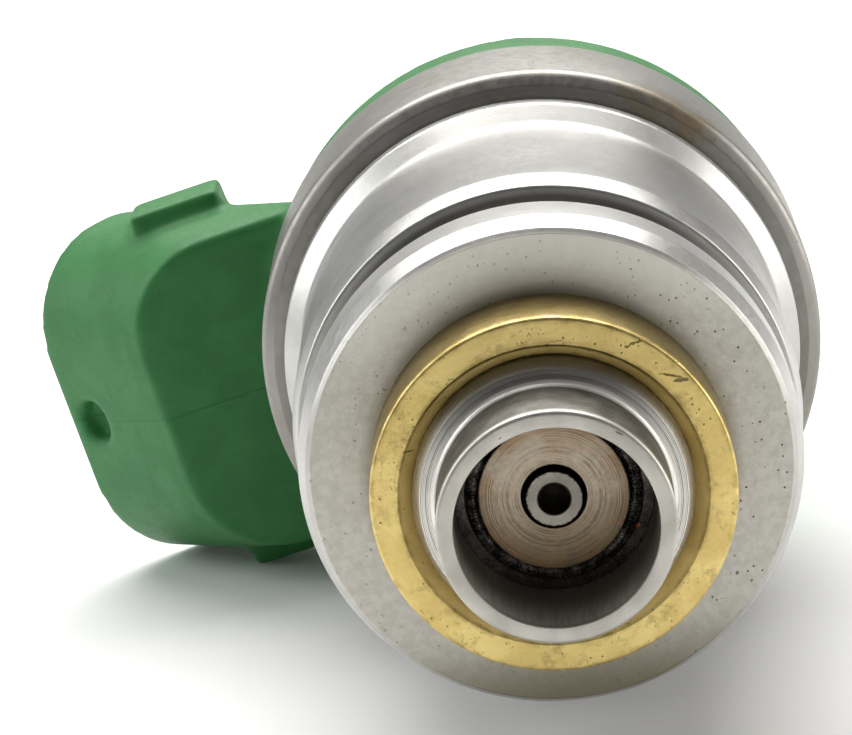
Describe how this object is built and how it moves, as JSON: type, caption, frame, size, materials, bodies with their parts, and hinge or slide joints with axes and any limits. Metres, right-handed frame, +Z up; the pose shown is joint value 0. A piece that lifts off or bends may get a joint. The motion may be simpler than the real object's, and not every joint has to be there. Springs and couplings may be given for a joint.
{
  "type": "fuel injector",
  "caption": "Top-feed solenoid fuel injector with a stepped steel body, recessed pintle nozzle, brass locating ring and an angled green moulded electrical connector.",
  "frame": {"origin": "centre of the outlet nose at its tip, on the injector's axis", "axes": "+Y along the injector's axis from the outlet tip to the inlet, +Z up with the injector lying on its side, connector towards -X"},
  "size_m": [0.0355, 0.0645, 0.0242],
  "materials": {
    "nozzle_steel": "turned, satin",
    "seat_steel": "turned, with a warm fuel patina",
    "weld": "dark weld bead",
    "brass": "satin, lightly scratched",
    "rubber": "matt",
    "inner_steel": "machined",
    "needle_steel": "ground",
    "spring_steel": "drawn wire",
    "inlet_steel": "turned, nickel plated",
    "body_steel": "satin nickel plate",
    "shell_steel": "satin nickel plate, slightly stained",
    "bobbin_plastic": "moulded",
    "copper_wire": "enamelled copper",
    "tape": "polyimide tape",
    "tinned_terminal": "tin plate",
    "green_plastic": "glass-filled, moulded satin",
    "filter_plastic": "moulded",
    "filter_mesh": "woven nylon",
    "backup_plastic": "moulded"
  },
  "bodies": {
    "injector": {"nozzle_tube": "nozzle_steel", "valve_seat": "seat_steel", "seat_weld": "weld", "brass_ring": "brass", "nozzle_seal": "rubber", "stop_plate": "inner_steel", "return_spring": "spring_steel", "spring_adjuster": "inner_steel", "pole_core": "inlet_steel", "guide_sleeve": "inner_steel", "yoke_ring": "inner_steel", "front_housing": "body_steel", "rear_shell": "shell_steel", "coil_bobbin": "bobbin_plastic", "coil_winding": "copper_wire", "coil_tape": "tape", "bobbin_lower_seal": "rubber", "bobbin_upper_seal": "rubber", "terminal_left": "tinned_terminal", "terminal_right": "tinned_terminal", "connector_overmold": "green_plastic", "inlet_filter_frame": "filter_plastic", "inlet_filter_mesh": "filter_mesh", "inlet_o_ring": "rubber", "inlet_backup_ring": "backup_plastic"},
    "needle_assembly": {"needle": "needle_steel", "lift_shim": "inner_steel", "armature": "inner_steel"}
  },
  "joints": [
    {"name": "needle_lift", "type": "slide", "parent": "injector", "child": "needle_assembly", "axis": [0, 1, 0], "range_m": [0, 0.0001], "stiffness_N_per_m": 3000, "springref_m": -0.002, "deforming": ["return_spring"]}
  ]
}
